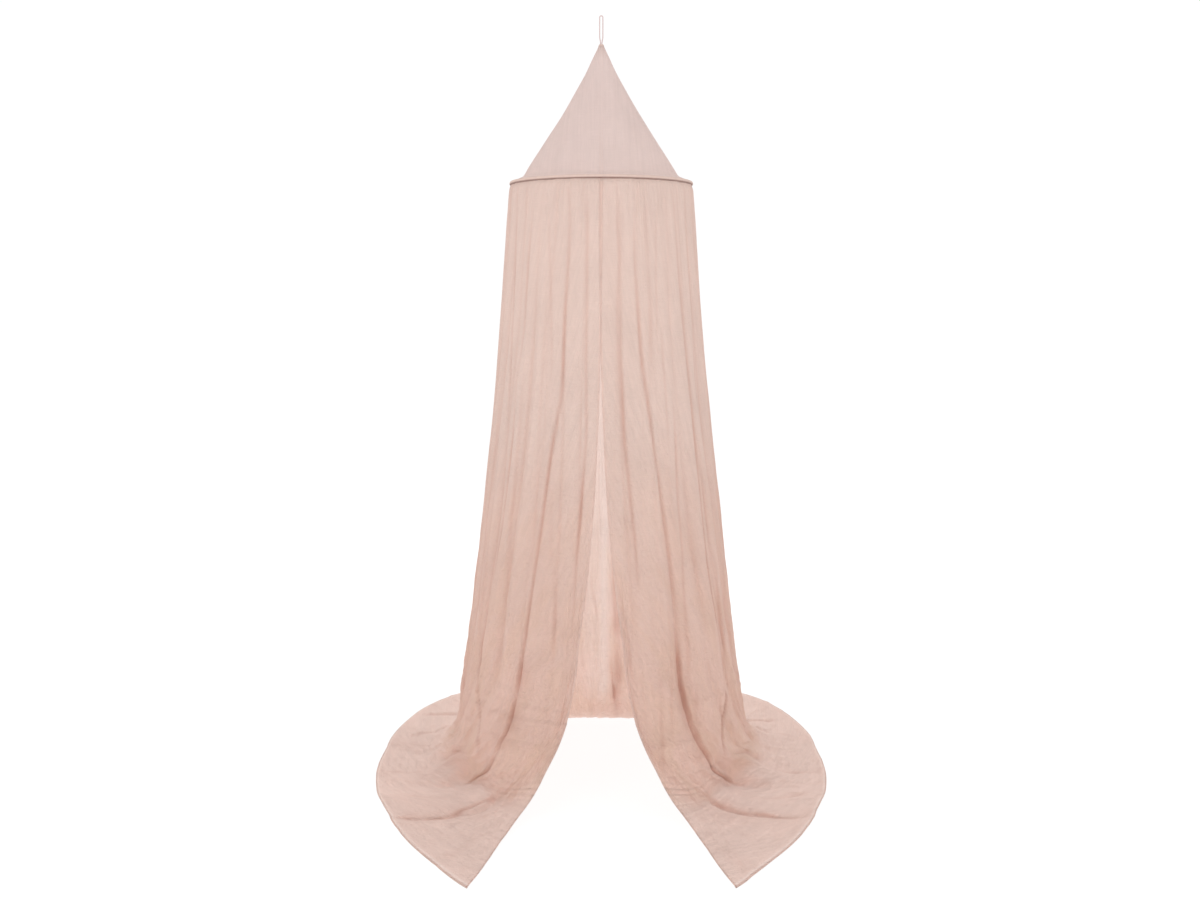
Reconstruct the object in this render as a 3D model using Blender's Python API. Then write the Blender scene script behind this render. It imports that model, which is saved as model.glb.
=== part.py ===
"""Mosquito net canopy: a cone roof and a long parted net skirt, hung from one bound hoop.

Units are metres, +Z is up and the parting of the skirt faces -Y. The origin is the point inside
the top of the hanging loop where a ceiling hook bears. Heights in the tables are above the floor
that the skirt trails on. An azimuth runs from 0 degrees at the front, over 90 at either side, to
180 at the back.
"""

import math

import bpy
import numpy as np

# Driving dimensions
HOOP_RADIUS = 0.250  # to the middle of the hoop's tube
HOOP_HEIGHT = 1.709  # the hoop's middle above the floor
ROOF_RISE = 0.374  # from the hoop's middle to the tip of the roof
LOOP_RISE = 0.075  # from the tip of the roof to where the hook bears
CLOTH = 0.0015  # thickness of the net and of the roof cloth
GAP = 0.0003  # between pieces that touch

FLOOR_Z = -(HOOP_HEIGHT + ROOF_RISE + LOOP_RISE)
HOOP_Z = FLOOR_Z + HOOP_HEIGHT
TIP_Z = HOOP_Z + ROOF_RISE

HOOP_TUBE_RADIUS = 0.0040
CASING_WALL = 0.0012
CASING_INNER_RADIUS = HOOP_TUBE_RADIUS + GAP
CASING_OUTER_RADIUS = CASING_INNER_RADIUS + CASING_WALL
CASING_MOUTH_DEG = (205.0, 235.0)  # where the two edges of the casing meet, inside and below
TURNED_STEPS = 48  # sides of every turned piece
HOOP_TUBE_STEPS = 8
CASING_STEPS = 9

LOOP_CORD_RADIUS = 0.0016
LOOP_HALF_WIDTH = 0.0044  # from the loop's middle to either strand, at the top
LOOP_NECK_HALF_WIDTH = 0.0019  # the same where both strands enter the roof's tip
LOOP_SEWN_Z = TIP_Z - 0.010  # the sewn ends of the cord, inside the tip
LOOP_NECK_RISE = 0.004  # how far above the tip the strands stay together
LOOP_OPEN_Z = TIP_Z + 0.022  # above this the strands hang parallel
LOOP_BEND_Z = LOOP_CORD_RADIUS - LOOP_HALF_WIDTH  # the hook bears on the bend at z = 0
LOOP_NECK_STEPS = 4
LOOP_BEND_STEPS = 10

# The roof's outer side, from its tip to the casing
ROOF_COLUMNS = ("above_hoop", "radius")
ROOF_PROFILE = (
    (0.3740, 0.0056),
    (0.3620, 0.0110),
    (0.3340, 0.0250),
    (0.2920, 0.0462),
    (0.2060, 0.0955),
    (0.1200, 0.1510),
    (0.0500, 0.1975),
    (0.0210, 0.2150),
    (0.0110, 0.2320),
    (0.0054, 0.2462),
)

# Sections down the net, from the hoop to the hem. Radius is that of the folds' crests at the
# sides. The shares place a section's azimuths and radii between those that FOLDS gives: swing
# goes from ring to low, sweep from low to foot, and spread from foot to hem. Reach takes the
# radius to the foot's. Lift turns the folds from standing out sideways, at 0, to standing up
# from the floor, at 1.
SECTION_COLUMNS = ("height", "radius", "swing", "sweep", "reach", "spread", "lift", "fold")
SECTIONS = (
    (1.7033, 0.2515, 0.00, 0.00, 0.00, 0.00, 0.00, 0.003),
    (1.6850, 0.2560, 0.01, 0.00, 0.00, 0.00, 0.00, 0.004),
    (1.6250, 0.2620, 0.05, 0.00, 0.00, 0.00, 0.00, 0.007),
    (1.4800, 0.2740, 0.15, 0.00, 0.00, 0.00, 0.00, 0.012),
    (1.2800, 0.2900, 0.30, 0.00, 0.00, 0.00, 0.00, 0.017),
    (1.0700, 0.3105, 0.45, 0.00, 0.00, 0.00, 0.00, 0.021),
    (0.8600, 0.3350, 0.62, 0.00, 0.00, 0.00, 0.00, 0.025),
    (0.6500, 0.3600, 0.82, 0.00, 0.00, 0.00, 0.00, 0.029),
    (0.4700, 0.3840, 1.00, 0.00, 0.00, 0.00, 0.00, 0.033),
    (0.3600, 0.3985, 1.00, 0.07, 0.00, 0.00, 0.00, 0.035),
    (0.2750, 0.4105, 1.00, 0.20, 0.00, 0.00, 0.00, 0.036),
    (0.2000, 0.4200, 1.00, 0.38, 0.00, 0.00, 0.00, 0.037),
    (0.1300, 0.4290, 1.00, 0.58, 0.10, 0.00, 0.05, 0.037),
    (0.0750, 0.4370, 1.00, 0.80, 0.45, 0.00, 0.25, 0.036),
    (0.0350, 0.4440, 1.00, 0.93, 0.80, 0.00, 0.55, 0.034),
    (0.0110, 0.4500, 1.00, 1.00, 1.00, 0.03, 0.85, 0.030),
    (0.0010, 0.4500, 1.00, 1.00, 1.00, 0.17, 1.00, 0.027),
    (0.0010, 0.4500, 1.00, 1.00, 1.00, 0.42, 1.00, 0.023),
    (0.0010, 0.4500, 1.00, 1.00, 1.00, 0.68, 1.00, 0.018),
    (0.0010, 0.4500, 1.00, 1.00, 1.00, 0.88, 1.00, 0.013),
    (0.0010, 0.4500, 1.00, 1.00, 1.00, 1.00, 1.00, 0.009),
)

# The net's two front edges, then the valleys between its folds, from the front to the middle of
# the back. The four azimuths are at the hoop, low on the hanging part, where it meets the floor,
# and at the hem. Delay keeps a valley at its ring azimuth for longer. Flare is its share of the
# sections' growth in radius. Depth is the valley's share of the section's fold. Rise is the same
# for the fold that follows it, where that lies on the floor, and lean is how far it tips over
# towards the front.
FOLD_COLUMNS = (
    "ring", "low", "foot", "hem", "delay", "flare", "foot_radius", "hem_radius",
    "depth", "rise", "lean",
)
LEFT_EDGE = (0.2, 9.8, 32.5, 23.2, 2.0, 0.80, 0.375, 0.782, 0.00, 0.15, 0.000)
RIGHT_EDGE = (-1.6, 9.4, 34.0, 23.4, 2.0, 0.80, 0.375, 0.782, 1.50, 0.15, 0.000)
FOLDS = (
    (9.5, 13.0, 38.5, 38.0, 1.0, 0.85, 0.385, 0.717, 0.55, 0.20, 0.000),
    (19.0, 21.5, 46.5, 59.5, 1.0, 0.90, 0.405, 0.670, 0.75, 1.50, 0.026),
    (27.0, 33.5, 58.5, 75.0, 1.0, 0.95, 0.420, 0.664, 1.50, 0.60, 0.008),
    (37.5, 47.5, 74.0, 87.0, 1.0, 1.00, 0.435, 0.668, 1.30, 1.00, 0.006),
    (48.5, 60.0, 88.0, 98.0, 1.0, 1.00, 0.445, 0.680, 0.70, 0.40, 0.000),
    (60.0, 72.0, 101.0, 108.0, 1.0, 1.00, 0.450, 0.705, 1.05, 0.80, 0.000),
    (72.0, 84.0, 112.0, 118.5, 1.0, 1.00, 0.450, 0.735, 1.20, 0.45, 0.000),
    (84.0, 96.0, 122.0, 129.0, 1.0, 0.98, 0.440, 0.768, 0.75, 0.85, 0.000),
    (96.0, 107.5, 131.0, 137.5, 1.0, 0.94, 0.428, 0.788, 1.15, 0.45, 0.000),
    (108.0, 118.5, 139.5, 145.0, 1.0, 0.88, 0.412, 0.792, 0.75, 0.60, 0.000),
    (120.0, 129.5, 147.0, 152.0, 1.0, 0.80, 0.390, 0.790, 1.10, 0.35, 0.000),
    (132.0, 140.0, 154.0, 158.5, 1.0, 0.73, 0.375, 0.785, 0.70, 0.40, 0.000),
    (144.0, 150.5, 160.5, 164.0, 1.0, 0.68, 0.362, 0.778, 1.00, 0.25, 0.000),
    (156.0, 160.5, 167.0, 169.5, 1.0, 0.64, 0.353, 0.772, 0.65, 0.30, 0.000),
    (168.0, 170.3, 173.5, 175.0, 1.0, 0.62, 0.348, 0.768, 0.90, 0.25, 0.000),
    (180.0, 180.0, 180.0, 180.0, 1.0, 0.62, 0.346, 0.766, 0.70, 0.25, 0.000),
)
HALF_FOLDS = len(FOLDS)
VALLEY_SHARPNESS = 1.5  # above 1, valleys are narrower than the folds between them
UNEVEN_SEED = 7
UNEVEN_DEG = 1.4  # how far a valley wanders from its place in FOLDS
UNEVEN_DEPTH = 0.25  # and how far its depth does
STEPS_PER_FOLD = 4

BLUSH_NET = (0.74, 0.53, 0.46, 1.0)
BLUSH_ROOF = (0.72, 0.57, 0.52, 1.0)
BLUSH_BINDING = (0.55, 0.37, 0.32, 1.0)
BLUSH_CORD = (0.70, 0.56, 0.54, 1.0)
WHITE_PLASTIC = (0.80, 0.79, 0.76, 1.0)


def columns(names, rows):
    """A table as one array for each named column."""
    return dict(zip(names, np.array(rows).T))


def clear_scene():
    for old in list(bpy.data.objects):
        bpy.data.objects.remove(old)


def finish(name, colour, roughness):
    material = bpy.data.materials.new(name)
    material.use_nodes = True
    shader = material.node_tree.nodes["Principled BSDF"]
    shader.inputs["Base Color"].default_value = colour
    shader.inputs["Roughness"].default_value = roughness
    shader.inputs["Metallic"].default_value = 0.0
    return material


def add_object(name, data, material):
    piece = bpy.data.objects.new(name, data)
    data.materials.append(material)
    bpy.context.scene.collection.objects.link(piece)
    return piece


def turned(name, section, height, material):
    """A closed (radius, height) section turned about the Z axis, placed at a height."""
    mesh = bpy.data.meshes.new(name)
    corners = [(radius, 0.0, z) for radius, z in section]
    edges = [(i, (i + 1) % len(corners)) for i in range(len(corners))]
    mesh.from_pydata(corners, edges, [])
    piece = add_object(name, mesh, material)
    piece.location.z = height
    screw = piece.modifiers.new("turn", "SCREW")
    screw.axis = "Z"
    screw.angle = math.tau
    screw.steps = screw.render_steps = TURNED_STEPS
    screw.use_merge_vertices = True
    screw.merge_threshold = 0.00005
    screw.use_smooth_shade = True
    return piece


def arc(radius, start_deg, end_deg, steps):
    """Points on a circle in the section plane, from one angle to the other."""
    angles = np.radians(np.linspace(start_deg, end_deg, steps + 1))
    return [(radius * math.cos(a), radius * math.sin(a)) for a in angles]


def make_hoop(material):
    circle = arc(HOOP_TUBE_RADIUS, 90.0, -270.0, HOOP_TUBE_STEPS)[:-1]
    section = [(HOOP_RADIUS + x, z) for x, z in circle]
    return turned("hoop", section, HOOP_Z, material)


def make_hoop_casing(material):
    """A strip of cloth wrapped round the hoop, with its two edges side by side at the mouth."""
    mouth_start, mouth_end = CASING_MOUTH_DEG
    outside = arc(CASING_OUTER_RADIUS, mouth_start, mouth_end - 360.0, CASING_STEPS)
    inside = arc(CASING_INNER_RADIUS, mouth_end - 360.0, mouth_start, CASING_STEPS)
    section = [(HOOP_RADIUS + x, z) for x, z in outside + inside]
    return turned("hoop_casing", section, HOOP_Z, material)


def make_roof(material):
    """The cone: its outer side is ROOF_PROFILE, and its inner side is that moved in by the cloth."""
    outer = columns(ROOF_COLUMNS, ROOF_PROFILE)
    outer = np.column_stack((outer["radius"], outer["above_hoop"]))
    along = np.gradient(outer, axis=0)
    along /= np.linalg.norm(along, axis=1)[:, None]
    inner = outer + CLOTH * np.column_stack((along[:, 1], -along[:, 0]))
    section = [tuple(point) for point in np.concatenate((outer, inner[::-1]))]
    return turned("roof_cone", section, HOOP_Z, material)


def loop_strand(side):
    """Centre points of one strand of the hanging loop, from its sewn end up to the bend."""
    heights = np.linspace(TIP_Z + LOOP_NECK_RISE, LOOP_OPEN_Z, LOOP_NECK_STEPS)
    share = (heights - heights[0]) / (heights[-1] - heights[0])
    eased = share * share * (3.0 - 2.0 * share)
    widths = LOOP_NECK_HALF_WIDTH + (LOOP_HALF_WIDTH - LOOP_NECK_HALF_WIDTH) * eased
    middle = 0.5 * (LOOP_OPEN_Z + LOOP_BEND_Z)
    route = [(side * LOOP_NECK_HALF_WIDTH, 0.0, LOOP_SEWN_Z)]
    route += [(side * width, 0.0, z) for width, z in zip(widths, heights)]
    route += [(side * LOOP_HALF_WIDTH, 0.0, middle)]
    return route


def make_hanging_loop(material):
    over_the_hook = arc(LOOP_HALF_WIDTH, 180.0, 0.0, LOOP_BEND_STEPS)
    bend = [(x, 0.0, LOOP_BEND_Z + z) for x, z in over_the_hook]
    route = loop_strand(-1.0) + bend + loop_strand(1.0)[::-1]
    curve = bpy.data.curves.new("hanging_loop", "CURVE")
    curve.dimensions = "3D"
    curve.bevel_depth = LOOP_CORD_RADIUS
    curve.bevel_resolution = 2
    curve.use_fill_caps = True
    strand = curve.splines.new("POLY")
    strand.points.add(len(route) - 1)
    for point, place in zip(strand.points, route):
        point.co = (*place, 1.0)
    return add_object("hanging_loop", curve, material)


def along_rows(values, at):
    """A smooth curve through one value for each row of a table, read at fractional rows."""
    padded = np.concatenate(([2 * values[0] - values[1]], values, [2 * values[-1] - values[-2]]))
    row = np.clip(np.floor(at).astype(int), 0, len(values) - 2)
    t = at - row
    before, start, end, after = (padded[row + k] for k in range(4))
    return 0.5 * (
        2 * start
        + (end - before) * t
        + (2 * before - 5 * start + 4 * end - after) * t**2
        + (3 * start - before - 3 * end + after) * t**3
    )


def fold_table(side):
    """The columns of FOLDS for one side of the net, uneven in that side's own way."""
    edge = LEFT_EDGE if side < 0 else RIGHT_EDGE
    table = columns(FOLD_COLUMNS, (edge,) + FOLDS)
    chance = np.random.default_rng(UNEVEN_SEED + side)
    stray = chance.uniform(-UNEVEN_DEG, UNEVEN_DEG, HALF_FOLDS - 1)
    for column in ("ring", "low", "foot", "hem"):
        table[column][1:-1] += stray
    table["depth"][1:-1] *= 1.0 + chance.uniform(-UNEVEN_DEPTH, UNEVEN_DEPTH, HALF_FOLDS - 1)
    return table


def half_net(side, fold_at):
    """Points of the left (-1) or right (+1) half of the net, a row for each section.

    Azimuth is ring + swing (low - ring) + sweep (foot - low) + spread (hem - foot), and radius
    goes from the section's own to the foot's and on to the hem's. Valleys cut inwards by depth
    on the hanging part, and on the floor the folds between them stand up by rise.
    """
    table = fold_table(side)
    fold = {name: along_rows(values, fold_at) for name, values in table.items()}
    part = {name: values[:, None] for name, values in columns(SECTION_COLUMNS, SECTIONS).items()}
    azimuth = (
        fold["ring"]
        + part["swing"] ** fold["delay"] * (fold["low"] - fold["ring"])
        + part["sweep"] * (fold["foot"] - fold["low"])
        + part["spread"] * (fold["hem"] - fold["foot"])
    )
    hanging = HOOP_RADIUS + fold["flare"] * (part["radius"] - HOOP_RADIUS)
    radius = hanging + part["reach"] * (fold["foot_radius"] - hanging)
    radius = radius + part["spread"] * (fold["hem_radius"] - fold["foot_radius"])
    valley = (0.5 + 0.5 * np.cos(math.tau * fold_at)) ** VALLEY_SHARPNESS
    crest = 1.0 - valley
    radius = radius - (1.0 - part["lift"]) * part["fold"] * fold["depth"] * valley
    middles = np.arange(HALF_FOLDS) + 0.5
    rise = np.interp(fold_at, middles, table["rise"][:-1])
    lean = np.interp(fold_at, middles, table["lean"][:-1])
    height = part["height"] + part["lift"] * part["fold"] * rise * crest
    angle = np.radians(azimuth) - part["lift"] * lean * crest / radius
    x = side * radius * np.sin(angle)
    y = -radius * np.cos(angle)
    return np.stack((x, y, FLOOR_Z + height), axis=-1)


def make_net_skirt(material):
    """One sheet from the left front edge, round the back, to the right front edge."""
    fold_at = np.linspace(0.0, HALF_FOLDS, HALF_FOLDS * STEPS_PER_FOLD + 1)
    left = half_net(-1, fold_at)
    right = half_net(1, fold_at)[:, -2::-1]
    grid = np.concatenate((left, right), axis=1)
    number = np.arange(grid.shape[0] * grid.shape[1]).reshape(grid.shape[:2])
    faces = np.stack(
        (number[:-1, :-1], number[:-1, 1:], number[1:, 1:], number[1:, :-1]), axis=-1
    )
    mesh = bpy.data.meshes.new("net_skirt")
    mesh.from_pydata(grid.reshape(-1, 3).tolist(), [], faces.reshape(-1, 4).tolist())
    mesh.shade_smooth()
    piece = add_object("net_skirt", mesh, material)
    solidify = piece.modifiers.new("cloth", "SOLIDIFY")
    solidify.thickness = CLOTH
    solidify.offset = 0.0
    return piece


def main():
    clear_scene()
    make_hanging_loop(finish("blush_cord", BLUSH_CORD, 0.85))
    make_roof(finish("blush_roof_cloth", BLUSH_ROOF, 0.90))
    make_hoop(finish("white_plastic", WHITE_PLASTIC, 0.45))
    make_hoop_casing(finish("blush_binding", BLUSH_BINDING, 0.90))
    make_net_skirt(finish("blush_net", BLUSH_NET, 0.92))


main()
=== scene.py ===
"""Looks of the mosquito net canopy: gauze net, cloth roof, bound hoop and cord loop.

Units are metres, +Z is up, and the parting of the net faces -Y. The origin is inside the top of
the hanging loop. Heights in the tables are above the floor. An azimuth runs from 0 degrees at the
front, over 90 at either side, to 180 at the back.
"""

import math

import bmesh
import bpy
import numpy as np
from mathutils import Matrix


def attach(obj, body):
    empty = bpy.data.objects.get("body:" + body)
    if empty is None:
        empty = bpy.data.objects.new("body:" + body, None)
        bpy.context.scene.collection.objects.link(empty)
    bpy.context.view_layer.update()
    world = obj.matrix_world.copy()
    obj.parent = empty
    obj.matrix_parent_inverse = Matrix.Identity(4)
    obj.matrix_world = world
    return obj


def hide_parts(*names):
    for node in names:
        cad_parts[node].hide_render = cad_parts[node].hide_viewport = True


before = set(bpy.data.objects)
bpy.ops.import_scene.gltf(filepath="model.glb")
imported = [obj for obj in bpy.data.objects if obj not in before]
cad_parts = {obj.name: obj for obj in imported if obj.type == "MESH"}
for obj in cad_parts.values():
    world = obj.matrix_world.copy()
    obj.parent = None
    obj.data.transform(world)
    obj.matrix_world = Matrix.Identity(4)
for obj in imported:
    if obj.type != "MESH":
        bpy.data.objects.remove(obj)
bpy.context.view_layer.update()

# Sizes of the part
HOOP_RADIUS = 0.250
HOOP_HEIGHT = 1.709
ROOF_RISE = 0.374
LOOP_RISE = 0.075
FLOOR_Z = -(HOOP_HEIGHT + ROOF_RISE + LOOP_RISE)
HOOP_Z = FLOOR_Z + HOOP_HEIGHT
TIP_Z = HOOP_Z + ROOF_RISE
CASING_RADIUS = 0.0055
CASING_MOUTH_DEG = 220.0

LOOP_CORD_RADIUS = 0.0016
LOOP_HALF_WIDTH = 0.0044
LOOP_NECK_HALF_WIDTH = 0.0019
LOOP_SEWN_Z = TIP_Z - 0.010
LOOP_NECK_Z = TIP_Z + 0.004
LOOP_OPEN_Z = TIP_Z + 0.022
LOOP_BEND_Z = LOOP_CORD_RADIUS - LOOP_HALF_WIDTH

# The roof from its gathered tip to the edge inside the casing
ROOF_COLUMNS = ("above_hoop", "radius")
ROOF_PROFILE = (
    (0.3720, 0.0040),
    (0.3752, 0.0046),
    (0.3740, 0.0056),
    (0.3620, 0.0110),
    (0.3340, 0.0250),
    (0.2920, 0.0462),
    (0.2060, 0.0955),
    (0.1200, 0.1510),
    (0.0500, 0.1975),
    (0.0210, 0.2150),
    (0.0110, 0.2320),
    (0.0058, 0.2440),
    (0.0040, 0.2475),
)

# Sections down the net, from inside the casing to the hem. height and radius are in metres, and so
# is fold, the size of the folds there. The others are shares from 0 to 1
SECTION_COLUMNS = ("height", "radius", "swing", "sweep", "reach", "spread", "lift", "fold")
SECTIONS = (
    (1.7044, 0.2512, 0.00, 0.00, 0.00, 0.00, 0.00, 0.002),
    (1.6850, 0.2560, 0.01, 0.00, 0.00, 0.00, 0.00, 0.004),
    (1.6250, 0.2620, 0.05, 0.00, 0.00, 0.00, 0.00, 0.007),
    (1.4800, 0.2740, 0.15, 0.00, 0.00, 0.00, 0.00, 0.012),
    (1.2800, 0.2900, 0.30, 0.00, 0.00, 0.00, 0.00, 0.017),
    (1.0700, 0.3105, 0.45, 0.00, 0.00, 0.00, 0.00, 0.021),
    (0.8600, 0.3350, 0.62, 0.00, 0.00, 0.00, 0.00, 0.025),
    (0.6500, 0.3600, 0.82, 0.00, 0.00, 0.00, 0.00, 0.029),
    (0.4700, 0.3840, 1.00, 0.00, 0.00, 0.00, 0.00, 0.033),
    (0.3600, 0.3985, 1.00, 0.07, 0.00, 0.00, 0.00, 0.035),
    (0.2750, 0.4105, 1.00, 0.20, 0.00, 0.00, 0.00, 0.036),
    (0.2000, 0.4200, 1.00, 0.38, 0.00, 0.00, 0.00, 0.037),
    (0.1300, 0.4290, 1.00, 0.58, 0.10, 0.00, 0.05, 0.037),
    (0.0750, 0.4370, 1.00, 0.80, 0.45, 0.00, 0.25, 0.036),
    (0.0350, 0.4440, 1.00, 0.93, 0.80, 0.00, 0.55, 0.034),
    (0.0110, 0.4500, 1.00, 1.00, 1.00, 0.03, 0.85, 0.030),
    (0.0020, 0.4500, 1.00, 1.00, 1.00, 0.17, 1.00, 0.027),
    (0.0020, 0.4500, 1.00, 1.00, 1.00, 0.42, 1.00, 0.023),
    (0.0020, 0.4500, 1.00, 1.00, 1.00, 0.68, 1.00, 0.018),
    (0.0020, 0.4500, 1.00, 1.00, 1.00, 0.88, 1.00, 0.013),
    (0.0020, 0.4500, 1.00, 1.00, 1.00, 1.00, 1.00, 0.009),
)

# The net's front edges, then the valleys between its folds, from the front to the back. The first
# four columns are azimuths in degrees. delay is how late the net swings from ring to low, flare is
# its share of the section's flare, and depth is a valley's depth, times the section's fold
FOLD_COLUMNS = ("ring", "low", "foot", "hem", "delay", "flare", "foot_radius", "hem_radius", "depth")
LEFT_EDGE = (-0.6, 9.8, 35.0, 24.4, 2.0, 0.80, 0.375, 0.782, 0.00)
RIGHT_EDGE = (-1.4, 9.4, 35.0, 24.4, 2.0, 0.80, 0.375, 0.782, 0.00)
FOLDS = (
    (9.5, 13.0, 40.0, 38.0, 1.0, 0.85, 0.385, 0.717, 0.55),
    (19.0, 21.5, 46.5, 58.5, 1.0, 0.90, 0.405, 0.670, 0.75),
    (27.0, 35.5, 68.0, 76.0, 1.0, 0.95, 0.400, 0.664, 1.50),
    (37.5, 47.5, 82.0, 88.0, 1.0, 1.00, 0.410, 0.668, 1.30),
    (48.5, 60.0, 93.0, 99.0, 1.0, 1.00, 0.420, 0.680, 0.70),
    (60.0, 72.0, 103.0, 108.5, 1.0, 1.00, 0.435, 0.705, 1.05),
    (72.0, 84.0, 112.0, 118.5, 1.0, 1.00, 0.450, 0.735, 1.20),
    (84.0, 96.0, 122.0, 129.0, 1.0, 0.98, 0.440, 0.768, 0.75),
    (96.0, 107.5, 131.0, 137.5, 1.0, 0.94, 0.428, 0.788, 1.15),
    (108.0, 118.5, 139.5, 145.0, 1.0, 0.88, 0.412, 0.792, 0.75),
    (120.0, 129.5, 147.0, 152.0, 1.0, 0.80, 0.390, 0.790, 1.10),
    (132.0, 140.0, 154.0, 158.5, 1.0, 0.73, 0.375, 0.785, 0.70),
    (144.0, 150.5, 160.5, 164.0, 1.0, 0.68, 0.362, 0.778, 1.00),
    (156.0, 160.5, 167.0, 169.5, 1.0, 0.64, 0.353, 0.772, 0.65),
    (168.0, 170.3, 173.5, 175.0, 1.0, 0.62, 0.348, 0.768, 0.90),
    (180.0, 180.0, 180.0, 180.0, 1.0, 0.62, 0.346, 0.766, 0.70),
)
HALF_FOLDS = len(FOLDS)
UNEVEN_SEED = 7
UNEVEN_DEG = 1.4
UNEVEN_DEPTH = 0.25

LOBE_BOW_DEG = 1.9  # how far the lobe's edge bows inwards on the floor

# The way of the front edges down to the floor and along it, by rows of SECTIONS
LANDING_COLUMNS = ("row", "azimuth", "radius", "height")
LANDING = (
    (10.0, 13.7, 0.3825, 0.276),
    (11.0, 17.8, 0.3860, 0.204),
    (12.0, 22.3, 0.3900, 0.140),
    (13.0, 24.7, 0.4048, 0.098),
    (14.0, 27.0, 0.4219, 0.062),
    (15.0, 28.5, 0.4518, 0.036),
    (16.0, 28.5, 0.5058, 0.017),
    (17.0, 27.6, 0.5695, 0.007),
    (18.0, 26.2, 0.6430, 0.003),
    (19.0, 25.1, 0.7112, 0.002),
    (20.0, 24.4, 0.7820, 0.002),
)

# How far out, and how much higher, the net turns to the floor at its sides, by rows of SECTIONS
SIDE_TURN_COLUMNS = ("row", "outwards", "raised")
SIDE_TURN = (
    (11.0, 0.000, 0.000),
    (12.0, 0.006, 0.004),
    (13.0, 0.021, 0.020),
    (14.0, 0.044, 0.027),
    (15.0, 0.064, 0.025),
    (16.0, 0.057, 0.016),
    (17.0, 0.030, 0.006),
    (18.0, 0.008, 0.002),
    (19.0, 0.000, 0.000),
    (20.0, 0.000, 0.000),
)

# How strong the valleys are at these rows, from the front edge to the middle of the back
WEIGHT_ROWS = (0.0, 1.5, 4.0, 7.0, 9.5, 13.0)
VALLEY_WEIGHTS = (
    (0.00, 0.00, 0.13, 0.24, 0.10, 0.00),
    (0.10, 0.34, 0.48, 0.32, 0.10, 0.00),
    (0.10, 0.45, 0.24, 0.24, 0.10, 0.10),
    (0.10, 0.18, 0.24, 0.48, 0.70, 0.40),
    (0.10, 0.26, 0.49, 0.64, 0.52, 0.45),
    (0.10, 0.52, 0.45, 0.80, 0.90, 0.60),
    (0.10, 0.63, 0.77, 0.83, 0.70, 0.50),
    (0.10, 0.77, 0.69, 0.73, 0.80, 0.40),
    (0.10, 0.68, 0.96, 0.83, 0.60, 0.30),
    (0.10, 0.73, 1.00, 0.73, 0.60, 0.30),
    (0.10, 0.69, 0.49, 0.83, 0.50, 0.20),
    (0.10, 0.81, 0.83, 0.62, 0.40, 0.10),
    (0.10, 0.57, 0.48, 0.62, 0.30, 0.00),
    (0.10, 0.75, 0.77, 0.52, 0.30, 0.00),
    (0.10, 0.60, 0.84, 0.52, 0.20, 0.00),
    (0.10, 0.69, 0.73, 0.42, 0.20, 0.00),
    (0.10, 0.51, 0.69, 0.42, 0.20, 0.00),
)
BROAD_SHARE = 0.36
PINCH_SHARE = 0.10
EDGE_TUCK = 0.0010  # how much nearer to the axis the right front edge lies than the left

# How high the folds stand on the floor, from the front edge to the middle of the back
RISE_COLUMNS = ("foot", "hem")
RISES = (
    (0.05, 0.05), (0.05, 0.05), (1.30, 0.95), (0.90, 0.15), (0.80, 0.15), (0.35, 0.10),
    (0.60, 0.12), (0.25, 0.08), (0.45, 0.12), (0.20, 0.08), (0.25, 0.08), (0.12, 0.05),
    (0.06, 0.05), (0.04, 0.04), (0.04, 0.04), (0.04, 0.04),
)
LOBE_FOLD = 2  # rolls over the flap in front of it
LOBE_LEAN = 0.020
TOE_FOLD = 3  # ends in a rounded toe on the lobe
TOE_LEAN = 0.012

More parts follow.
